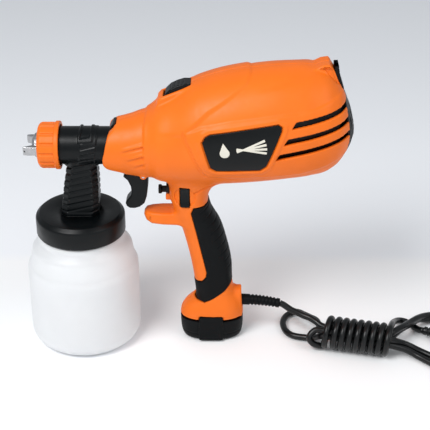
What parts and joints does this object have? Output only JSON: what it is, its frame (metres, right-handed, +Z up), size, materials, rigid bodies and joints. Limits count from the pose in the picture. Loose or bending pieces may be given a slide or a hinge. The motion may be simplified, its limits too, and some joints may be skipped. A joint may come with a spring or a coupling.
{
  "type": "handheld paint sprayer",
  "caption": "Electric HVLP spray gun with pistol grip, trigger, detachable spray head, screw-on paint cup, tail filter cover and coiled mains lead.",
  "frame": {"origin": "middle of the gun's box without its lead, on the surface it stands on", "axes": "+X towards the tail, nozzle towards -X, left side towards -Y, +Z up"},
  "size_m": [0.4769, 0.132, 0.2972],
  "materials": {
    "orange_shell": "satin moulded, fine texture",
    "black_plastic": "satin moulded",
    "black_rubber": "soft overmould, matt",
    "steel": "turned",
    "nickel_cap": "plated, satin",
    "brass": "machined",
    "copper": "lacquered copper windings",
    "laminated_steel": "laminated",
    "stamped_zinc": "stamped",
    "milky_plastic": "milky polyethylene",
    "cream_plastic": "plain",
    "filter_foam": "open-cell foam",
    "carbon": "pressed carbon",
    "cord_jacket": "smooth PVC jacket"
  },
  "bodies": {
    "motor_unit": {"housing_left": "orange_shell", "housing_right": "orange_shell", "badge_left": "black_plastic", "badge_right": "black_plastic", "grip_sleeve": "black_rubber", "foot_boot": "black_rubber", "button_spring": "steel", "trigger_pin": "steel", "knob_bezel": "black_plastic", "switch_body": "black_plastic", "turbine_casing": "stamped_zinc", "front_bearing": "steel", "rear_bearing": "steel", "motor_stator": "laminated_steel", "motor_mount": "black_rubber", "brush_left": "carbon", "brush_right": "carbon", "filter_foam": "filter_foam", "air_duct": "black_plastic", "housing_screw_1": "steel", "housing_screw_2": "steel", "housing_screw_3": "steel", "housing_screw_4": "steel", "terminal_block": "cream_plastic", "head_seal": "black_rubber", "cord_sleeve": "black_rubber", "cord_lead": "cord_jacket", "cord_wraps": "cord_jacket", "cord_left_loop": "cord_jacket", "cord_end_loops": "cord_jacket", "cord_tail": "cord_jacket", "plug": "cord_jacket", "plug_pin_a": "brass", "plug_pin_b": "brass"},
    "button": {"release_button": "black_plastic"},
    "trigger": {"trigger": "black_plastic"},
    "flow_knob": {"flow_knob": "black_plastic", "flow_screw": "brass"},
    "rocker": {"power_rocker": "black_plastic"},
    "rotor": {"rotor_shaft": "steel", "armature": "copper", "commutator": "copper", "turbine_impeller_front": "stamped_zinc", "turbine_impeller_rear": "stamped_zinc"},
    "tail_cover": {"filter_cover": "black_plastic"},
    "spray_head": {"spray_body": "black_plastic", "cup_lid": "black_plastic", "fluid_nozzle": "brass", "needle_packing": "black_rubber", "needle_spring": "steel", "lever_pin": "steel", "suction_tube": "cream_plastic"},
    "lever": {"needle_lever": "steel"},
    "needle": {"fluid_needle": "steel"},
    "air_cap": {"air_cap": "nickel_cap"},
    "nut_carrier": {"nut_washer": "steel"},
    "ring_nut": {"ring_nut": "orange_shell"},
    "cup_carrier": {"cup_gasket": "black_rubber"},
    "cup": {"cup": "milky_plastic"}
  },
  "joints": [
    {"name": "button_press", "type": "slide", "parent": "motor_unit", "child": "button", "axis": [0, 0, -1], "range_m": [0, 0.003], "stiffness_N_per_m": 350, "springref_m": -0.001, "deforming": ["button_spring"]},
    {"name": "trigger_pull", "type": "hinge", "parent": "motor_unit", "child": "trigger", "pos_m": [-0.03845, 0, 0.187], "axis": [0, -1, 0], "range_deg": [0, 12], "stiffness_Nm_per_rad": 0.4, "springref_deg": -11.46},
    {"name": "flow_knob_turn", "type": "hinge", "parent": "motor_unit", "child": "flow_knob", "pos_m": [-0.02245, 0, 0.165], "axis": [-1, 0, 0], "range_deg": [0, 1080]},
    {"name": "rocker_tip", "type": "hinge", "parent": "motor_unit", "child": "rocker", "pos_m": [0.00055, -0.016, 0.166], "axis": [-1, 0, 0], "range_deg": [0, 6]},
    {"name": "rotor_spin", "type": "hinge", "parent": "motor_unit", "child": "rotor", "pos_m": [0.04755, 0, 0.231], "axis": [0.9903, 0, 0.1392], "continuous": true},
    {"name": "cover_open", "type": "hinge", "parent": "motor_unit", "child": "tail_cover", "pos_m": [0.15505, 0, 0.205], "axis": [0, 1, 0], "range_deg": [0, 70]},
    {"name": "head_pull", "type": "slide", "parent": "motor_unit", "child": "spray_head", "axis": [-1, 0, 0], "range_m": [0, 0.065]},
    {"name": "lever_swing", "type": "hinge", "parent": "spray_head", "child": "lever", "pos_m": [-0.04445, 0, 0.2035], "axis": [0, 1, 0], "range_deg": [0, 21]},
    {"name": "needle_draw", "type": "slide", "parent": "spray_head", "child": "needle", "axis": [1, 0, 0], "range_m": [0, 0.00166], "deforming": ["needle_spring"]},
    {"name": "air_cap_turn", "type": "hinge", "parent": "spray_head", "child": "air_cap", "pos_m": [-0.13545, 0, 0.2113], "axis": [1, 0, 0], "range_deg": [0, 90]},
    {"name": "ring_nut_slide", "type": "slide", "parent": "spray_head", "child": "nut_carrier", "axis": [-1, 0, 0], "range_m": [0, 0.009]},
    {"name": "ring_nut_turn", "type": "hinge", "parent": "nut_carrier", "child": "ring_nut", "pos_m": [-0.12645, 0, 0.2113], "axis": [-1, 0, 0], "range_deg": [0, 1080]},
    {"name": "cup_lower", "type": "slide", "parent": "spray_head", "child": "cup_carrier", "axis": [0, 0, -1], "range_m": [0, 0.012]},
    {"name": "cup_turn", "type": "hinge", "parent": "cup_carrier", "child": "cup", "pos_m": [-0.10245, 0, 0.066], "axis": [0, 0, -1], "range_deg": [0, 720]}
  ],
  "couplings": [
    {"joint": "lever_swing", "follows": "trigger_pull", "ratio": 1.75},
    {"joint": "needle_draw", "follows": "trigger_pull", "m_per_rad": 0.007875},
    {"joint": "ring_nut_slide", "follows": "ring_nut_turn", "m_per_rad": 0.00047746},
    {"joint": "cup_lower", "follows": "cup_turn", "m_per_rad": 0.00095493}
  ]
}
